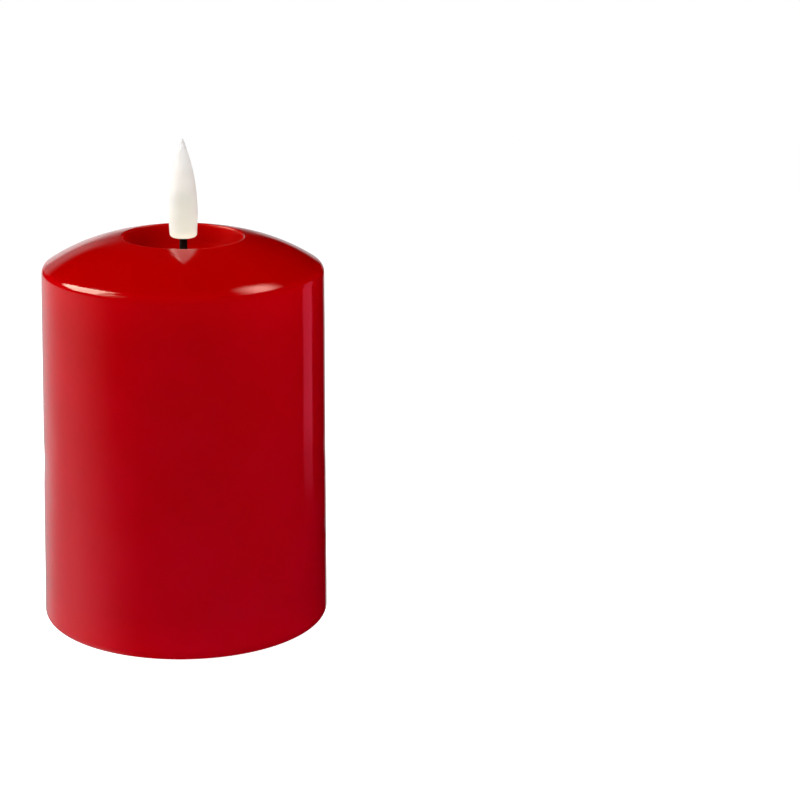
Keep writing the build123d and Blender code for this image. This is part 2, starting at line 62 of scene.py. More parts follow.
# ---- the wax pillar, as in the CAD: corners of its outline, and the radii that round them ----
WAX_BOTTOM = (38.0, 0.4)
WAX_SHOULDER = (36.65, 95.4)
WAX_RIM = (15.75, 103.5)
WELL_FOOT = (13.0, 96.6)
WELL_FLOOR_Z = 96.0
DOME_SAGITTA = 1.3
BOTTOM_FILLET, SHOULDER_FILLET, RIM_FILLET, WELL_FILLET = 1.6, 2.2, 0.5, 5.0
CAVITY_BOTTOM = (34.0, 3.4)
CAVITY_TOP = (32.4, 91.0)
CAVITY_FILLET = 5.0
REBATE_R = 35.2
BUSHING_HOLE = (2.6, 94.4)
WICK_HOLE_R = 1.15

# ---- the flame and the wick, as in the CAD ----
FLAME_FOOT = (3.5, 103.2)
FLAME_WAIST = (3.8, 109.5)
FLAME_FOOT_FILLET = 0.9
FLAME_TIP_Z, FLAME_TIP_R = 128.8, 0.25
FLAME_SEAT = (2.5, 104.6)
FLAME_BORE = (2.3, 113.0)
WICK_R, WICK_BORE_R = 1.05, 0.68
WICK_BOTTOM_Z, WICK_TOP_Z = 89.4, 104.4

# ---- meshing: segments round the axis, steps in each arc, and the longest run along each straight ----
WAX_SEGMENTS, FLAME_SEGMENTS, WICK_SEGMENTS = 384, 96, 64
SHOULDER_STEPS, DOME_STEPS, RIM_STEPS, WELL_STEPS, CORNER_STEPS = 14, 34, 8, 14, 12
OGIVE_STEPS, TIP_STEPS, BORE_END_STEPS = 48, 6, 12
FOOT_RUN, WALL_RUN, WELL_RUN, CAVITY_RUN = 1.0, 0.9, 0.8, 6.0
FLAME_RUN, FLAME_BORE_RUN = 0.6, 1.5
WICK_SKIN_RUN, WICK_BORE_RUN = 0.16, 0.8
# an edge that turns by more degrees than this stays crisp, and a ring smaller than this becomes one point
SHARP_ANGLE = 40
ON_AXIS = 1e-6


# ------------------------------------------------------------------ outlines and meshes
def arc(centre, start, end, steps):
    """Points from start to end round centre, the short way."""
    first = math.atan2(start[1] - centre[1], start[0] - centre[0])
    turn = math.atan2(end[1] - centre[1], end[0] - centre[0]) - first
    turn = (turn + math.pi) % (2 * math.pi) - math.pi
    radius = math.dist(centre, start)
    angles = [first + turn * k / steps for k in range(steps + 1)]
    return [(centre[0] + radius * math.cos(a), centre[1] + radius * math.sin(a)) for a in angles]


def rounded(before, corner, after, radius, steps=CORNER_STEPS):
    """The arc that rounds the corner between two straight runs."""
    at = Vector(corner)
    a = (Vector(before) - at).normalized()
    b = (Vector(after) - at).normalized()
    half = a.angle(b) / 2
    centre = at + (a + b).normalized() * (radius / math.sin(half))
    reach = radius / math.tan(half)
    return arc(centre, at + a * reach, at + b * reach, steps)


def bulged(start, end, sagitta):
    """Centre and radius of the arc that bulges outward between two points."""
    a, b = Vector(start), Vector(end)
    half = (b - a).length / 2
    radius = (half**2 + sagitta**2) / (2 * sagitta)
    along = (b - a).normalized()
    outward = Vector((-along.y, along.x))
    return (a + b) / 2 - outward * (radius - sagitta), radius


def rounded_to_dome(low, high, side, dome, radius, steps):
    """The arc that rounds a straight wall, from low to high, into the dome.

    The wax is on the wall's left where side is 1, and on its right where side is -1."""
    centre, dome_r = dome
    along = (Vector(high) - Vector(low)).normalized()
    into_wax = Vector((-along.y, along.x)) * side
    start = Vector(low) + into_wax * radius
    b = (start - centre).dot(along)
    c = (start - centre).length_squared - (dome_r - radius) ** 2
    middle = start + along * (-b + math.sqrt(b * b - c))
    on_wall = middle - into_wax * radius
    on_dome = centre + (middle - centre).normalized() * dome_r
    return arc(middle, on_wall, on_dome, steps)


def divided(points, longest):
    """The same outline with no run longer than that."""
    made = [points[0]]
    for a, b in zip(points, points[1:]):
        steps = max(1, math.ceil(math.dist(a, b) / longest))
        for k in range(1, steps + 1):
            made.append((a[0] + (b[0] - a[0]) * k / steps, a[1] + (b[1] - a[1]) * k / steps))
    return made


def mesh_object(name, points, faces):
    """A smooth-shaded mesh from points in millimetres, with its sharper edges kept crisp."""
    mesh = bpy.data.meshes.new(name)
    mesh.from_pydata([(x * MM, y * MM, z * MM) for x, y, z in points], [], faces)
    mesh.shade_smooth()
    mesh.set_sharp_from_angle(angle=math.radians(SHARP_ANGLE))
    made = bpy.data.objects.new(name, mesh)
    bpy.context.scene.collection.objects.link(made)
    return made


def lathe(name, outline, segments, place):
    """Turns an outline round the candle's axis; place(radius, angle, height) gives each point.

    An end on the axis becomes one point. An outline that starts off the axis is closed on itself."""
    points, rings = [], []
    for radius, z in outline:
        count = 1 if radius < ON_AXIS else segments
        rings.append(range(len(points), len(points) + count))
        points += [place(radius, 2 * math.pi * k / segments, z) for k in range(count)]
    if len(rings[0]) > 1:
        rings.append(rings[0])
    faces = []
    for low, high in zip(rings, rings[1:]):
        for k in range(segments):
            n = (k + 1) % segments
            loop = [low[k % len(low)], low[n % len(low)], high[n % len(high)], high[k % len(high)]]
            faces.append(list(dict.fromkeys(loop)))
    return mesh_object(name, points, faces)


def on_circle(radius, angle, z):
    """The point at that angle in radians, counted from -Y towards +X."""
    return (radius * math.sin(angle), -radius * math.cos(angle), z)


def eased_in(beyond, over):
    """0 up to an edge, and rising to 1 over that length beyond it."""
    return min(1, max(0, beyond / over))


# ------------------------------------------------------------------ wax
# shallow marks that the photograph shows: azimuth, height, depth, half width in degrees, half height
DENTS = [
    (-82, 44.0, 0.22, 10, 4.5),
    (-70, 52.0, 0.10, 7, 5.0),
    (-74, 36.0, 0.10, 6, 3.0),
    (76, 24.0, 0.16, 6, 3.0),
    (77, 46.0, 0.14, 9, 4.0),
    (-37.6, 96.0, 0.06, 1.0, 0.8),
    (-30.5, 96.2, 0.03, 1.2, 0.5),
]

# the side's slow wandering and its finer ripple: depth, and how often each repeats
WANDER_DEPTH, WANDERS = 0.05, 1.6
RIPPLE_DEPTH, RIPPLES = 0.02, 4.5
RIPPLE_START = Vector((7, 3, 1))
RELIEF_HEIGHT = 40.0

# a point is on the outside beyond the rebate by this much, or above the cavity by this much
OUTSIDE_MARGIN, ROOF_MARGIN = 0.5, 4
# the bottom edge is true up to the first height, and the relief is full after the second length
TRUE_EDGE_Z, RELIEF_FADE = 1.5, 6
# above the shoulder the relief turns from inward to downward over this height
SHOULDER_TURN = 3


def wax_relief(azimuth, z):
    """How far the hand-finished side stands in from a true cone."""
    a = math.radians(azimuth)
    around = Vector((math.sin(a), math.cos(a), z / RELIEF_HEIGHT))
    depth = WANDER_DEPTH * noise.noise(around * WANDERS)
    depth += RIPPLE_DEPTH * noise.noise(around * RIPPLES + RIPPLE_START)
    for at, height, deepest, half_width, half_height in DENTS:
        off = (azimuth - at + 180) % 360 - 180
        depth += deepest * math.exp(-((off / half_width) ** 2) - ((z - height) / half_height) ** 2)
    return depth


def wax_outline():
    """From the rebate up the outside, over the dome, down the well and back through the cavity."""
    dome = bulged(WAX_RIM, WAX_SHOULDER, DOME_SAGITTA)
    shoulder = rounded_to_dome(WAX_BOTTOM, WAX_SHOULDER, 1, dome, SHOULDER_FILLET, SHOULDER_STEPS)
    rim = rounded_to_dome(WELL_FOOT, WAX_RIM, -1, dome, RIM_FILLET, RIM_STEPS)[::-1]
    well_slope = (WELL_FOOT[1] - WELL_FLOOR_Z) / WELL_FOOT[0]
    floor_at_hole = (WICK_HOLE_R, WELL_FLOOR_Z + well_slope * WICK_HOLE_R)
    rebate_edge = (REBATE_R, WAX_BOTTOM[1])
    foot = [rebate_edge, *rounded(rebate_edge, WAX_BOTTOM, WAX_SHOULDER, BOTTOM_FILLET)]
    outside = divided(foot, FOOT_RUN) + divided([foot[-1], shoulder[0]], WALL_RUN)[1:]
    outside += shoulder[1:]
    outside += arc(dome[0], shoulder[-1], rim[0], DOME_STEPS)[1:]
    outside += rim[1:]
    well_corner = rounded(WAX_RIM, WELL_FOOT, (0, WELL_FLOOR_Z), WELL_FILLET, WELL_STEPS)
    outside += divided([rim[-1], *well_corner, floor_at_hole], WELL_RUN)[1:]
    inside = [(WICK_HOLE_R, BUSHING_HOLE[1]), BUSHING_HOLE, (BUSHING_HOLE[0], CAVITY_TOP[1])]
    inside += rounded((0, CAVITY_TOP[1]), CAVITY_TOP, CAVITY_BOTTOM, CAVITY_FILLET)
    inside += [CAVITY_BOTTOM, (REBATE_R, CAVITY_BOTTOM[1])]
    return outside + divided([floor_at_hole, *inside], CAVITY_RUN)[1:]


def wax_place(radius, angle, z):
    """Keeps the cavity and the underside true, and lets the outside wander a little."""
    x, y, _ = on_circle(1, angle, z)
    if radius <= REBATE_R + OUTSIDE_MARGIN and z <= CAVITY_TOP[1] + ROOF_MARGIN:
        return (radius * x, radius * y, z)
    depth = wax_relief(math.degrees(angle), z) * eased_in(z - TRUE_EDGE_Z, RELIEF_FADE)
    downward = eased_in(z - WAX_SHOULDER[1], SHOULDER_TURN)
    radius -= depth * (1 - downward)
    return (radius * x, radius * y, z - depth * downward)


# ------------------------------------------------------------------ flame and wick
# how much of its radius the flame swells by, how often round it, and over what height
FLAME_SWELL, FLAME_SWELLS, FLAME_SWELL_HEIGHT = 0.006, 1.3, 9
SEAT_MARGIN = 0.1

# the wick's skin: how much thinner, how oval, and how deep and how often it gathers and creases
WICK_SHRINK, WICK_OVAL = 0.03, 0.05
GATHER_DEPTH, GATHERS_ROUND, GATHERS_UP = 0.03, 1.5, 1.4
CREASE_DEPTH, CREASES, CREASE_TWIST = 0.015, 9, 0.8
SKIN_MARGIN = 0.01
# it is true to the CAD in the wax and in the flame, and takes its own shape over these heights between them
WICK_EASE_BELOW, WICK_EASE_ABOVE = 1.0, 0.8


def flame_outline():
    """From the tip down the ogive to the foot, and back up the seat and the bore."""
    waist, foot = Vector(FLAME_WAIST), Vector(FLAME_FOOT)
    tip_join = (FLAME_TIP_R, FLAME_TIP_Z - FLAME_TIP_R)
    rise, shrink = tip_join[1] - waist.y, waist.x - tip_join[0]
    ogive_r = (rise**2 + shrink**2) / (2 * shrink)
    outside = [(FLAME_SEAT[0], foot.y), *rounded((0, foot.y), foot, waist, FLAME_FOOT_FILLET)]
    outside = divided([*outside, tuple(waist)], FLAME_RUN)
    outside += arc((waist.x - ogive_r, waist.y), waist, tip_join, OGIVE_STEPS)[1:]
    outside += arc((0, tip_join[1]), tip_join, (0, FLAME_TIP_Z), TIP_STEPS)[1:-1]
    bore_r, bore_z = FLAME_BORE
    bore_end = (0, bore_z + bore_r)
    inside = [bore_end, *arc((0, bore_z), bore_end, FLAME_BORE, BORE_END_STEPS)[1:]]
    inside += [(bore_r, FLAME_SEAT[1]), FLAME_SEAT]
    return [(0, FLAME_TIP_Z), *outside[::-1], *divided(inside, FLAME_BORE_RUN)[::-1]]


def flame_place(radius, angle, z):
    """Keeps the bore and the seat true, and lets the moulding's outside swell a little."""
    x, y, _ = on_circle(1, angle, z)
    if radius > FLAME_SEAT[0] + SEAT_MARGIN:
        around = Vector((x, y, z / FLAME_SWELL_HEIGHT))
        radius *= 1 + FLAME_SWELL * noise.noise(around * FLAME_SWELLS)
    return (radius * x, radius * y, z)


def wick_outline():
    """Up the skin and down the bore of a tube."""
    bore = [(WICK_BORE_R, WICK_TOP_Z), (WICK_BORE_R, WICK_BOTTOM_Z)]
    skin = [(WICK_R, WICK_BOTTOM_Z), (WICK_R, WICK_TOP_Z)]
    return divided([bore[1], *skin], WICK_SKIN_RUN) + divided([skin[1], *bore], WICK_BORE_RUN)[1:-1]


def wick_place(radius, angle, z):
    """Heat-shrink drawn down on the two legs inside it: slightly oval, with small gathers."""
    x, y, _ = on_circle(1, angle, z)
    if radius < WICK_R - SKIN_MARGIN:
        return (radius * x, radius * y, z)
    shown = eased_in(z - WELL_FLOOR_Z, WICK_EASE_BELOW) * eased_in(FLAME_FOOT[1] - z, WICK_EASE_ABOVE)
    around = Vector((x * GATHERS_ROUND, y * GATHERS_ROUND, z * GATHERS_UP))
    gathers = GATHER_DEPTH * noise.noise(around)
    creases = CREASE_DEPTH * math.sin(CREASES * angle + CREASE_TWIST * z)
    radius -= shown * (WICK_OVAL * y * y + WICK_SHRINK + gathers + creases)
    return (radius * x, radius * y, z)


# ------------------------------------------------------------------ shader helpers
# nearly all of a noise field lies between these two values
FIELD_LOW, FIELD_HIGH = 0.3, 0.7


def node(tree, kind, inputs=None, **settings):
    """A shader node; inputs maps a socket's name or number to a value or to another node's output."""
    made = tree.nodes.new("ShaderNode" + kind)
    for key, value in settings.items():
        setattr(made, key, value)
    for key, value in (inputs or {}).items():
        if isinstance(value, bpy.types.NodeSocket):
            tree.links.new(value, made.inputs[key])
        else:
            made.inputs[key].default_value = value
    return made


def maths(tree, operation, *values):
    """The result of one Math node."""
    return node(tree, "Math", dict(enumerate(values)), operation=operation).outputs[0]


def ranged(tree, value, low, high, to_low=0.0, to_high=1.0, kind="LINEAR", clamp=True):
    """A value turned from one range into another; without clamp it goes on past both ends."""
    inputs = {"Value": value, "From Min": low, "From Max": high, "To Min": to_low, "To Max": to_high}
    return node(tree, "MapRange", inputs, interpolation_type=kind, clamp=clamp).outputs["Result"]


def shades(tree, value, *stops, blend="LINEAR"):
    """Colours along a value, as (position, (r, g, b)) stops."""
    ramp = node(tree, "ValToRGB", {"Fac": value})
    ramp.color_ramp.interpolation = blend
    elements = ramp.color_ramp.elements
    while len(elements) < len(stops):
        elements.new(0.5)
    for element, (position, colour) in zip(elements, stops):
        element.position = position
        element.color = (*colour, 1)
    return ramp.outputs["Color"]


def stretched(tree, scale):
    """The piece's own coordinates in metres, scaled along each axis."""
    where = node(tree, "TexCoord").outputs["Object"]
    return node(tree, "Mapping", {"Vector": where, "Scale": scale}).outputs["Vector"]


def place_mm(tree):
    """A point's place in the frame, in mm."""
    return stretched(tree, (1 / MM, 1 / MM, 1 / MM))


def axes_mm(tree):
    """A point's place along X, Y and Z, in mm."""
    return node(tree, "SeparateXYZ", {"Vector": place_mm(tree)}).outputs


def from_axis_mm(tree):
    """How far a point of the piece is from the candle's axis, in mm."""
    flat = stretched(tree, (1 / MM, 1 / MM, 0))
    return node(tree, "VectorMath", {0: flat}, operation="LENGTH").outputs["Value"]


def grain(tree, scale, detail, stretch=(1, 1, 1)):
    """A noise field between 0 and 1 whose features are about 1/scale metres."""
    where = stretched(tree, stretch)
    return node(tree, "TexNoise", {"Vector": where, "Scale": scale, "Detail": detail}).outputs["Fac"]


def mottled(tree, field, dark, light):
    """Colours from dark to light over a noise field."""
    return shades(tree, field, (FIELD_LOW, dark), (FIELD_HIGH, light))


def varied(tree, field, low, high):
    """Values from low to high over a noise field."""
    return ranged(tree, field, FIELD_LOW, FIELD_HIGH, low, high)


def bumped(tree, height, depth_mm):
    """The normal of a surface with that relief."""
    inputs = {"Height": height, "Distance": depth_mm * MM, "Strength": 1.0}
    return node(tree, "Bump", inputs).outputs["Normal"]


def multiplied(tree, one, other):
    """Two colours multiplied."""
    inputs = {0: 1.0, 6: one, 7: other}
    return node(tree, "Mix", inputs, data_type="RGBA", blend_type="MULTIPLY").outputs[2]


def chosen(tree, mask, off, on):
    """The colour off where the mask is 0, and on where it is 1; either may be an (r, g, b)."""
    off, on = [(*colour, 1) if isinstance(colour, tuple) else colour for colour in (off, on)]
    return node(tree, "Mix", {0: mask, 6: off, 7: on}, data_type="RGBA").outputs[2]


def patch(tree, one, other, centre, half):
    """1 in a rectangle given by its centre and half size along two axes, 0 outside."""
    inside_one = maths(tree, "COMPARE", one, centre[0], half[0])
    inside_other = maths(tree, "COMPARE", other, centre[1], half[1])
    return maths(tree, "MULTIPLY", inside_one, inside_other)


def inside_circle(tree, one, other, centre, radius):
    """1 within radius of the centre, 0 outside."""
    across = maths(tree, "SUBTRACT", one, centre[0])
    up = maths(tree, "SUBTRACT", other, centre[1])
    squares = maths(tree, "MULTIPLY_ADD", across, across, maths(tree, "MULTIPLY", up, up))
    return maths(tree, "LESS_THAN", squares, radius**2)


def material(name, **values):
    """A new material with those constants on its shader; returns it, its tree and the shader."""
    made = bpy.data.materials.new(name)
    made.use_nodes = True
    shader = made.node_tree.nodes["Principled BSDF"]
    for key, value in values.items():
        shader.inputs[key.replace("_", " ")].default_value = value
    return made, made.node_tree, shader


def wire_up(tree, shader, **links):
    """Links outputs to the shader's sockets of those names."""
    for key, socket in links.items():
        tree.links.new(socket, shader.inputs[key.replace("_", " ")])


# ------------------------------------------------------------------ wax and flame materials
# painted light and shade: how the wax's colour changes up the side, darker at the bottom edge and lighter
# at the top of the wall: share of the height, and a factor on red, green and blue
WAX_PAINTED_SHADING_TOP = 100
WAX_PAINTED_SHADING = [
    (0.006, (0.8, 0.8, 1.6)),
    (0.03, (1.06, 0.9, 2.2)),
    (0.12, (0.96, 0.9, 2.0)),
    (0.5, (0.98, 1, 1.5)),
    (0.84, (1.07, 1, 1.1)),
    (0.93, (1.2, 1, 1)),
    (0.97, (1.06, 1, 0)),
]
# painted shade in the well: a factor on the wax's red, green and blue there
WELL_PAINTED_SHADE = (0.97, 1, 1)

# the lacquer's roughness from spot to spot, and what is added to it between the outer and the inner radius
LACQUER_SMOOTH, LACQUER_ROUGH = 0.045, 0.08
DULLER_RADII, DULLER_BY = (25, 20), 0.09
# it stops between these radii, at the well's rim: the bare wax in the well is rougher and hardly shines
WELL_EDGE = (WAX_RIM[0] + RIM_FILLET * 0.2, WAX_RIM[0] - RIM_FILLET * 0.6)
WELL_DULLER_BY = 0.3
LACQUER_SHINE, BARE_SHINE = 0.5, 0.02

# a painted glow in the flame, not light from the LED: its strength at the lower and at the upper of these
# heights
PAINTED_GLOW_HEIGHTS = (104.0, 121.0)
PAINTED_GLOW = (0.3, 0.1)
# painted shade: the flame is greyer towards its tip: share of the way between two heights, and a factor on
# its colour
FLAME_TIP_SHADE_HEIGHTS = (100, 130)
FLAME_TIP_SHADE = [(0.35, (1, 1, 1)), (0.8, (0.84, 0.85, 0.85))]


def wax_material():
    """Deep red wax under a clear lacquer: a little light passes through it near the edges.

    Painted light and shade make the wax a shade lighter towards the top, darker at its bottom edge and a
    little darker in the well, and the lacquer doesn't reach into the well."""
    made, tree, shader = material(
        "wax_lacquered",
        IOR=1.46,
        Subsurface_Weight=0.6,
        Subsurface_Radius=(1.0, 0.08, 0.08),
        Subsurface_Scale=0.006,
    )
    cloud = mottled(tree, grain(tree, 55, 4), (0.395, 0.0, 0.002), (0.425, 0.0, 0.004))
    # painted light and shade along the wax's height: darker bottom edge, lighter top of the wall
    painted_shading = shades(tree, ranged(tree, axes_mm(tree)["Z"], 0, WAX_PAINTED_SHADING_TOP), *WAX_PAINTED_SHADING)
    from_axis = from_axis_mm(tree)
    in_well = ranged(tree, from_axis, *WELL_EDGE)
    # painted shade: the wax a shade darker inside the well
    well = shades(tree, in_well, (0.0, (1, 1, 1)), (1.0, WELL_PAINTED_SHADE))
    gloss = varied(tree, grain(tree, 140, 4), LACQUER_SMOOTH, LACQUER_ROUGH)
    gloss = maths(tree, "ADD", gloss, ranged(tree, from_axis, *DULLER_RADII, 0.0, DULLER_BY))
    gloss = maths(tree, "MULTIPLY_ADD", in_well, WELL_DULLER_BY, gloss)
    shine = ranged(tree, in_well, 0, 1, LACQUER_SHINE, BARE_SHINE)
    colour = multiplied(tree, multiplied(tree, cloud, painted_shading), well)
    orange_peel = bumped(tree, grain(tree, 900, 2), 0.003)
    wire_up(tree, shader, Base_Color=colour, Roughness=gloss)
    wire_up(tree, shader, Specular_IOR_Level=shine, Normal=orange_peel)
    return made


def flame_material():
    """Frosted ivory plastic, with a faint warm painted glow in its lower half and painted shade greying its
    tip.
    """
    made, tree, shader = material(
        "flame_frosted",
        IOR=1.45,
        Subsurface_Weight=1.0,
        Subsurface_Radius=(1.0, 0.9, 0.75),
        Subsurface_Scale=0.03,
        # the colour of the painted glow
        Emission_Color=(0.98, 0.98, 0.84, 1.0),
    )
    cloud = mottled(tree, grain(tree, 160, 3), (0.66, 0.63, 0.59), (0.70, 0.67, 0.63))
    up = axes_mm(tree)["Z"]
    # painted shade greying the flame towards its tip
    painted_shading = shades(tree, ranged(tree, up, *FLAME_TIP_SHADE_HEIGHTS), *FLAME_TIP_SHADE)
    # painted glow, strongest low in the flame
    glow = ranged(tree, up, *PAINTED_GLOW_HEIGHTS, *PAINTED_GLOW, kind="SMOOTHSTEP")
    frost = grain(tree, 5000, 2)
    gloss = varied(tree, frost, 0.42, 0.55)
    wire_up(tree, shader, Base_Color=multiplied(tree, cloud, painted_shading), Roughness=gloss)
    wire_up(tree, shader, Emission_Strength=glow, Normal=bumped(tree, frost, 0.003))
    return made


# ------------------------------------------------------------------ plain materials
# how far a finish's roughness goes below and above its own value
SMOOTHER_BY, ROUGHER_BY = 0.06, 0.08
METAL = {"Metallic": 1.0}
MATT = {"Specular_IOR_Level": 0.15}

# slot: dark, light, mottle size, roughness, bump depth, grain size, other shader values
PLAIN = {
    "wick": ((0.003, 0.002, 0.002), (0.012, 0.008, 0.007), 0.8, 0.7, 0.02, 0.25, MATT),
    "base_plastic": ((0.815, 0.785, 0.715), (0.835, 0.81, 0.745), 6.0, 0.42, 0.015, 0.22, {}),
    "ring_plastic": ((0.72, 0.71, 0.67), (0.82, 0.81, 0.78), 7.0, 0.38, 0.008, 0.5, {}),
    "switch_plastic": ((0.030, 0.030, 0.034), (0.06, 0.06, 0.066), 2.0, 0.40, 0.008, 0.15, {}),
    "foot_rubber": ((0.42, 0.42, 0.41), (0.56, 0.56, 0.55), 1.5, 0.70, 0.02, 0.2, {}),
    "screw_steel": ((0.50, 0.50, 0.53), (0.66, 0.66, 0.68), 0.8, 0.30, 0.006, 0.1, METAL),
    "contact_steel": ((0.62, 0.61, 0.57), (0.76, 0.75, 0.71), 1.2, 0.26, 0.004, 0.12, METAL),
    "led_epoxy": ((0.88, 0.86, 0.78), (0.96, 0.94, 0.88), 0.8, 0.12, 0.003, 0.2, {"IOR": 1.5}),
    "lead_wire": ((0.60, 0.60, 0.62), (0.78, 0.78, 0.79), 0.5, 0.28, 0.004, 0.08, METAL),
    "shrink_tube": ((0.012, 0.012, 0.013), (0.03, 0.03, 0.031), 0.7, 0.50, 0.015, 0.2, {}),
    "chip_epoxy": ((0.018, 0.018, 0.019), (0.04, 0.04, 0.042), 0.5, 0.55, 0.006, 0.08, {}),
    "crystal_can": ((0.66, 0.66, 0.67), (0.80, 0.80, 0.80), 0.6, 0.22, 0.003, 0.1, METAL),
    "wire_red": ((0.46, 0.02, 0.02), (0.60, 0.035, 0.03), 1.5, 0.36, 0.006, 0.3, {}),
    "wire_black": ((0.015, 0.015, 0.016), (0.035, 0.035, 0.036), 1.5, 0.38, 0.006, 0.3, {}),
}


def plain_material(name, dark, light, size_mm, rough, bump_mm, fine_mm, values):
    """Mottled between two colours, with its own gloss variation and fine relief."""
    made, tree, shader = material(name, **values)
    colour = mottled(tree, grain(tree, 1 / (size_mm * MM), 4), dark, light)
    fine = grain(tree, 1 / (fine_mm * MM), 3)
    gloss = varied(tree, fine, rough - SMOOTHER_BY, rough + ROUGHER_BY)
    wire_up(tree, shader, Base_Color=colour, Roughness=gloss, Normal=bumped(tree, fine, bump_mm))
    return made


# ------------------------------------------------------------------ materials with a print or a pattern
STEEL = (0.62, 0.61, 0.58)
SILVER = (0.55, 0.55, 0.54)
CHARCOAL = (0.028, 0.029, 0.033)
COPPER = (0.50, 0.20, 0.055)
SIGN_WHITE = (0.8, 0.8, 0.78)
TINNED = (0.7, 0.7, 0.69)
ALUMINIUM = (0.72, 0.72, 0.72)
STRIPE_GREY = (0.55, 0.57, 0.6)
TRACK_GREEN = (0.07, 0.34, 0.15)

# a cell's print: where each band starts, as a share of its length from the flat end
CELL_BANDS = [
    (0.0, CHARCOAL),
    (0.045, SILVER),
    (0.055, CHARCOAL),
    (0.70, SILVER),
    (0.712, COPPER),
    (0.955, CHARCOAL),
]
# how far its signs are from the tip and from the flat end, and half a stroke's length and width
PLUS_INSET, MINUS_INSET = 8.0, 6.0
STROKE_HALF_LENGTH, STROKE_HALF_WIDTH = 1.6, 0.35
# the radius of the bare steel at both ends of a cell
CELL_STEEL_R = 6.3

# a chip resistor's tinned end, a capacitor's stripe, and the sleeve's lip round its top: how wide each is
RESISTOR_END = 0.4
CAPACITOR_STRIPE, CAPACITOR_LIP = 0.45, 0.35


def box_mm(name):
    """The low and high corners of a CAD node's box, in mm."""
    return [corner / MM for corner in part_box(name)]


def cell_material(name):
    """A generic battery cell: a charcoal and copper sleeve with plain + and - signs over a steel can."""
    low, high = box_mm(name)
    tip, flat = (high.x, low.x) if abs(high.x) > abs(low.x) else (low.x, high.x)
    toward_tip = 1 if tip > flat else -1
    middle = (low + high) / 2
    made, tree, shader = material(name + "_print")
    x, y, z = axes_mm(tree)
    sleeve = shades(tree, ranged(tree, x, flat, tip), *CELL_BANDS, blend="CONSTANT")
    plus = (tip - PLUS_INSET * toward_tip, middle.y)
    minus = (flat + MINUS_INSET * toward_tip, middle.y)
    plus_along = patch(tree, x, y, plus, (STROKE_HALF_LENGTH, STROKE_HALF_WIDTH))
    plus_across = patch(tree, x, y, plus, (STROKE_HALF_WIDTH, STROKE_HALF_LENGTH))
    minus_across = patch(tree, x, y, minus, (STROKE_HALF_WIDTH, STROKE_HALF_LENGTH))
    signs = maths(tree, "MAXIMUM", maths(tree, "MAXIMUM", plus_along, plus_across), minus_across)
    sleeve = chosen(tree, signs, sleeve, SIGN_WHITE)
    steel = inside_circle(tree, y, z, (middle.y, middle.z), CELL_STEEL_R)
    scuffs = grain(tree, 2500, 4, (0.3, 1, 1))
    rough = varied(tree, scuffs, 0.22, 0.34)
    wire_up(tree, shader, Base_Color=chosen(tree, steel, sleeve, STEEL), Metallic=steel, Roughness=rough)
    wire_up(tree, shader, Normal=bumped(tree, scuffs, 0.004))
    return made


def board_material():
    """Green solder mask, with the copper tracks showing through it as paler lines."""
    made, tree, shader = material("board_solder_mask", Roughness=0.3)
    size = {"Scale": 1.0, "Mortar Size": 0.09, "Brick Width": 6.3, "Row Height": 0.85}
    inputs = {"Vector": place_mm(tree), **size}
    tracks = node(tree, "TexBrick", inputs, offset=0.37, offset_frequency=3).outputs["Fac"]
    mask = mottled(tree, grain(tree, 700, 4), (0.012, 0.13, 0.05), (0.022, 0.19, 0.08))
    colour = chosen(tree, tracks, mask, TRACK_GREEN)
    wire_up(tree, shader, Base_Color=colour, Normal=bumped(tree, tracks, 0.02))
    return made


def resistor_material():
    """Black chip resistors with tinned ends."""
    low, high = box_mm("resistors")
    made, tree, shader = material("resistor_chip")
    x = axes_mm(tree)["X"]
    body = maths(tree, "COMPARE", x, (low.x + high.x) / 2, (high.x - low.x) / 2 - RESISTOR_END)
    speckle = grain(tree, 6000, 3)
    dark = mottled(tree, speckle, (0.015, 0.015, 0.017), (0.03, 0.03, 0.034))
    rough = varied(tree, speckle, 0.28, 0.45)
    metal = maths(tree, "SUBTRACT", 1.0, body)
    wire_up(tree, shader, Base_Color=chosen(tree, body, TINNED, dark), Metallic=metal, Roughness=rough)
    return made


def capacitor_material():
    """A dark blue sleeve with a pale stripe on its negative side, and a bare aluminium top."""
    low, high = box_mm("capacitor")
    centre, radius = ((low.x + high.x) / 2, (low.y + high.y) / 2), (high.x - low.x) / 2
    made, tree, shader = material("capacitor_print")
    x, y, _ = axes_mm(tree)
    stripe = maths(tree, "GREATER_THAN", x, high.x - CAPACITOR_STRIPE)
    top = inside_circle(tree, x, y, centre, radius - CAPACITOR_LIP)
    speckle = grain(tree, 3000, 3)
    sleeve = mottled(tree, speckle, (0.014, 0.02, 0.06), (0.024, 0.032, 0.085))
    sleeve = chosen(tree, stripe, sleeve, STRIPE_GREY)
    rough = varied(tree, speckle, 0.22, 0.34)
    wire_up(tree, shader, Base_Color=chosen(tree, top, sleeve, ALUMINIUM), Metallic=top, Roughness=rough)
    return made


def slot_of_node():
    """The record's material slot of each CAD node, from the name of the material it has in model.glb."""
    return {name: shown.data.materials[0].name.split(".")[0] for name, shown in frame["nodes"].items()}


def dress_cad_nodes():
    """Gives every CAD node its slot's finish, or one of its own. Returns the slots' finishes."""
    finishes = {"wax": wax_material(), "flame": flame_material()}
    for slot, look in PLAIN.items():
        finishes[slot] = plain_material(slot + "_finish", *look)
    own_finish = {
        "battery_cell_1": cell_material("battery_cell_1"),
        "battery_cell_2": cell_material("battery_cell_2"),
        "circuit_board": board_material(),
        "resistors": resistor_material(),
        "capacitor": capacitor_material(),
    }
    slots = slot_of_node()
    for name, shown in frame["nodes"].items():
        shown.data.materials.clear()
        shown.data.materials.append(own_finish[name] if name in own_finish else finishes[slots[name]])
    return finishes


# ------------------------------------------------------------------ studio
WHITE, CREAM, ROSE, RED = (1, 1, 1), (1.0, 0.9, 0.7), (1.0, 0.55, 0.47), (1.0, 0.12, 0.25)

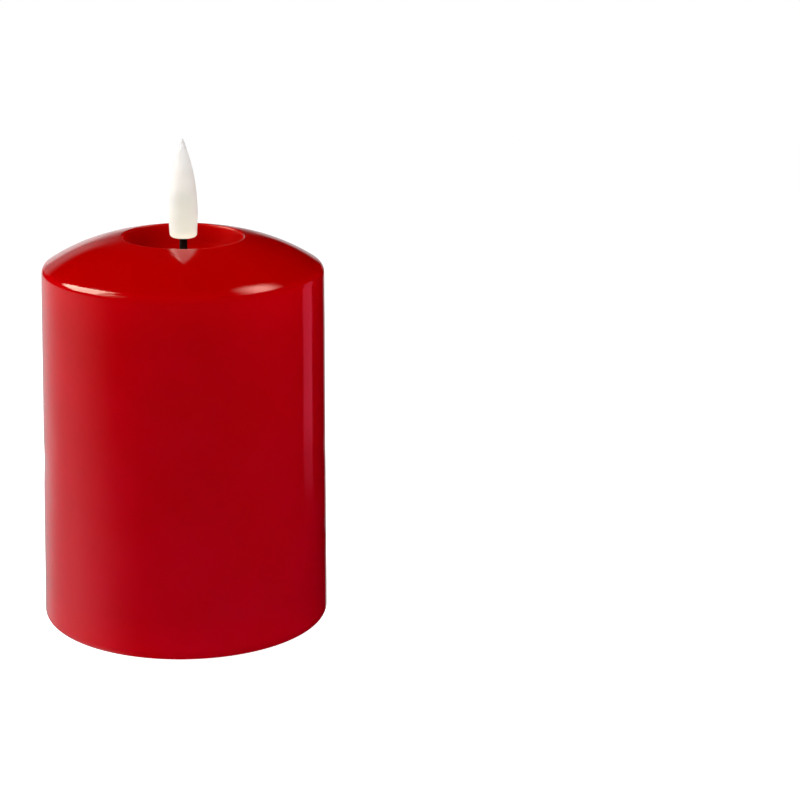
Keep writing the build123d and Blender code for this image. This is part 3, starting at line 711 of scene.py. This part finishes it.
# cards and sweeps that only the gloss sees:
# name: azimuth from, to, width of its soft edge, elevation from, to, width of its edge, brightness, colour
CARDS = {
    "right_strip": (112, 127, 2.5, -17.0, 12, 3, 1.1, RED),
    "left_sweep": (-170, -80, 55, -60, -8, 8, 0.45, WHITE),
    "left_sweep_far": (-200, -132, 50, -21, -6, 8, 0.30, WHITE),
    "backdrop": (-200, -160, 12, -10, 6, 7, 0.9, WHITE),
    "left_low_sweep": (-112, -52, 40, -60, -17, 5, 0.13, WHITE),
    "backdrop_high": (-172, -150, 10, 4, 17, 7, 0.3, WHITE),
    "backdrop_right": (162, 190, 10, -60, 2, 6, 0.55, WHITE),
    "right_softbox": (96, 139.5, 5, 50, 62, 12, 9.0, ROSE),
    "right_softbox_tail": (74, 96, 14, 49, 61, 9, 2.6, ROSE),
}

# oval softboxes that only the gloss sees:
# name: azimuth, elevation, half width, half height, how much it climbs per degree, brightness, colour
OCTOBOXES = {
    "left_softbox": (-106, 37, 26, 22, -0.3, 12.0, CREAM),
    "left_softbox_spill": (-77, 34, 10, 17, 0.0, 3.5, CREAM),
    "left_softbox_edge": (-68, 33, 14, 18, 0.0, 0.6, CREAM),
}
# an oval fades out between these squared distances, where 1 is its half width or half height
OVAL_FADE = (0.55, 1.35)

# lamps, which light surfaces and don't show in the gloss:
# name: azimuth, elevation, distance, side, power in watts
LAMPS = {
    "left_low": (-90, 15, 1200, 900, 10.0),
    "left_rear": (-112, 10, 1200, 900, 4.2),
    "left_high": (-90, 50, 1200, 900, 5.2),
    "right_near": (55, 44, 450, 300, 1.15),
    "front": (0, 15, 1200, 900, 1.3),
    "rear_high": (180, 60, 1200, 900, 1.1),
    "under": (0, -88, 700, 500, 0.8),
}
LAMP_TARGET = (0, 0, 60)
AMBIENT = 0.15

# the floor's half size, and the distances from its middle between which it fades into the backdrop
FLOOR_HALF = 4000.0
FLOOR_FADE = (150, 700)
# its glow dims from the first place along X to the second, and the camera sees it brighter by this much
FLOOR_DIMMING = (-20, 60)
FLOOR_GLOW = (0.36, 0.036)
FLOOR_OVEREXPOSED = 0.8


def toward(azimuth, elevation):
    """The unit vector towards that azimuth and elevation."""
    a, e = math.radians(azimuth), math.radians(elevation)
    return Vector((math.sin(a) * math.cos(e), -math.cos(a) * math.cos(e), math.sin(e)))


def soft_light(name, azimuth, elevation, distance, side, power):
    """A square lamp aimed at the candle."""
    lamp = bpy.data.lights.new(name, "AREA")
    lamp.shape = "SQUARE"
    lamp.size = side * MM
    lamp.energy = power
    made = bpy.data.objects.new(name, lamp)
    bpy.context.scene.collection.objects.link(made)
    direction = toward(azimuth, elevation)
    made.location = (Vector(LAMP_TARGET) + direction * distance) * MM
    made.rotation_mode = "QUATERNION"
    made.rotation_quaternion = (-direction).to_track_quat("-Z", "Y")
    made.visible_camera = False
    made.visible_glossy = False


def ray_angles(tree):
    """The azimuth and elevation, in degrees, that a ray leaves the scene at."""
    where = node(tree, "TexCoord").outputs["Generated"]
    axes = node(tree, "SeparateXYZ", {"Vector": where}).outputs
    back = maths(tree, "MULTIPLY", axes["Y"], -1.0)
    azimuth = maths(tree, "DEGREES", maths(tree, "ARCTAN2", axes["X"], back))
    elevation = maths(tree, "DEGREES", maths(tree, "ARCSINE", axes["Z"]))
    return azimuth, elevation


def band(tree, value, low, high, soft):
    """1 between low and high and 0 outside, with an edge of that width on each."""
    rising = ranged(tree, value, low - soft / 2, low + soft / 2, kind="SMOOTHSTEP")
    falling = ranged(tree, value, high - soft / 2, high + soft / 2, 1.0, 0.0, kind="SMOOTHSTEP")
    return maths(tree, "MULTIPLY", rising, falling)


def oval(tree, azimuth, elevation, centre, half, climb):
    """1 in an oval and 0 outside, with a wide soft edge."""
    (az, el), (half_az, half_el) = centre, half
    across = ranged(tree, azimuth, az - half_az, az + half_az, -1.0, 1.0, clamp=False)
    levelled = maths(tree, "MULTIPLY_ADD", across, -climb * half_az, elevation)
    up = ranged(tree, levelled, el - half_el, el + half_el, -1.0, 1.0, clamp=False)
    squares = maths(tree, "MULTIPLY_ADD", across, across, maths(tree, "MULTIPLY", up, up))
    return ranged(tree, squares, *OVAL_FADE, 1.0, 0.0, kind="SMOOTHSTEP")


def gloss_light(tree):
    """What the gloss reflects: every card and softbox, added up."""
    azimuth, elevation = ray_angles(tree)
    shapes = []
    for az_low, az_high, az_soft, el_low, el_high, el_soft, brightness, colour in CARDS.values():
        upright = band(tree, azimuth, az_low, az_high, az_soft)
        level = band(tree, elevation, el_low, el_high, el_soft)
        shapes.append((maths(tree, "MULTIPLY", upright, level), brightness, colour))
    for az, el, half_az, half_el, climb, brightness, colour in OCTOBOXES.values():
        softbox = oval(tree, azimuth, elevation, (az, el), (half_az, half_el), climb)
        shapes.append((softbox, brightness, colour))
    total = None
    for shape, brightness, colour in shapes:
        strength = maths(tree, "MULTIPLY", shape, brightness)
        lit = node(tree, "Background", {"Color": (*colour, 1), "Strength": strength}).outputs[0]
        total = lit if total is None else node(tree, "AddShader", {0: total, 1: lit}).outputs[0]
    return total


def world():
    """White to the camera, the cards above to the gloss, and an even ambient light otherwise."""
    made = bpy.data.worlds.new("studio")
    bpy.context.scene.world = made
    made.use_nodes = True
    tree = made.node_tree
    tree.nodes.clear()
    gloss = gloss_light(tree)
    even = node(tree, "Background", {"Color": (1, 1, 1, 1), "Strength": AMBIENT}).outputs[0]
    white = node(tree, "Background", {"Color": (1, 1, 1, 1), "Strength": 1.0}).outputs[0]
    rays = node(tree, "LightPath").outputs
    lit = node(tree, "MixShader", {"Fac": rays["Is Glossy Ray"], 1: even, 2: gloss}).outputs[0]
    seen = node(tree, "MixShader", {"Fac": rays["Is Camera Ray"], 1: lit, 2: white}).outputs[0]
    node(tree, "OutputWorld", {"Surface": seen})
    made.cycles.sampling_method = "NONE"


def floor():
    """A white sheet that fades into the white backdrop, and is clear from below to show the underside.

    It glows less on the right, where the photograph's second candle stands."""
    low, high = -FLOOR_HALF, FLOOR_HALF
    corners = [(low, low, 0), (high, low, 0), (high, high, 0), (low, high, 0)]
    made = mesh_object("floor", corners, [(0, 1, 2, 3)])
    paper = bpy.data.materials.new("white_sweep")
    paper.use_nodes = True
    tree = paper.node_tree
    tree.nodes.clear()
    colour = mottled(tree, grain(tree, 40, 4), (0.90, 0.90, 0.90), (0.92, 0.92, 0.92))
    matt = node(tree, "BsdfDiffuse", {"Color": colour}).outputs[0]
    glow = ranged(tree, axes_mm(tree)["X"], *FLOOR_DIMMING, *FLOOR_GLOW)
    seen = node(tree, "LightPath").outputs["Is Camera Ray"]
    strength = maths(tree, "MULTIPLY_ADD", seen, FLOOR_OVEREXPOSED, glow)
    glowing = node(tree, "Emission", {"Color": (1, 1, 1, 1), "Strength": strength}).outputs[0]
    top = node(tree, "AddShader", {0: matt, 1: glowing}).outputs[0]
    reach = node(tree, "VectorMath", {0: place_mm(tree)}, operation="LENGTH").outputs["Value"]
    far = ranged(tree, reach, *FLOOR_FADE, kind="SMOOTHSTEP")
    from_below = node(tree, "NewGeometry").outputs["Backfacing"]
    unseen = maths(tree, "MAXIMUM", far, from_below)
    clear = node(tree, "BsdfTransparent").outputs[0]
    both = node(tree, "MixShader", {"Fac": unseen, 1: top, 2: clear}).outputs[0]
    node(tree, "OutputMaterial", {"Surface": both})
    made.data.materials.append(paper)
    made.visible_glossy = False
    made.visible_shadow = False


# the photograph's viewpoint, from a perspective fit to the candle's ellipses and outline
EYE = (0.0, -574.2, 227.5)
PITCH, ROLL, YAW = 16.35, -0.59, -5.46
LENS, SENSOR_WIDTH = 101.2, 36.0


def camera():
    """The camera at the photograph's viewpoint, which becomes the scene's camera."""
    data = bpy.data.cameras.new("camera")
    data.sensor_width = SENSOR_WIDTH
    data.lens = LENS
    made = bpy.data.objects.new("camera", data)
    bpy.context.scene.collection.objects.link(made)
    turn = Matrix.Rotation(math.radians(90 - PITCH), 4, "X")
    turn = turn @ Matrix.Rotation(math.radians(ROLL), 4, "Z")
    turn = turn @ Matrix.Rotation(math.radians(YAW), 4, "Y")
    made.matrix_world = Matrix.Translation(Vector(EYE) * MM) @ turn
    bpy.context.scene.camera = made


# ------------------------------------------------------------------ everything together
def new_piece(made, stands_for, finish):
    """Puts a finished mesh in the frame, in place of the CAD node it stands for."""
    made.data.materials.append(finish)
    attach(made, "root")
    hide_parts(stands_for)


def main():
    """Finishes for the CAD, the three new pieces, and the studio."""
    finishes = dress_cad_nodes()
    wax = lathe("wax_pillar", wax_outline(), WAX_SEGMENTS, wax_place)
    flame = lathe("flame_bulb", flame_outline(), FLAME_SEGMENTS, flame_place)
    wick = lathe("wick_tube", wick_outline(), WICK_SEGMENTS, wick_place)
    new_piece(wax, "wax_shell", finishes["wax"])
    new_piece(flame, "flame_lens", finishes["flame"])
    new_piece(wick, "wick_sleeve", finishes["wick"])
    world()
    floor()
    camera()
    for name, lamp in LAMPS.items():
        soft_light(name, *lamp)
    bpy.context.scene.view_settings.view_transform = "Standard"


main()
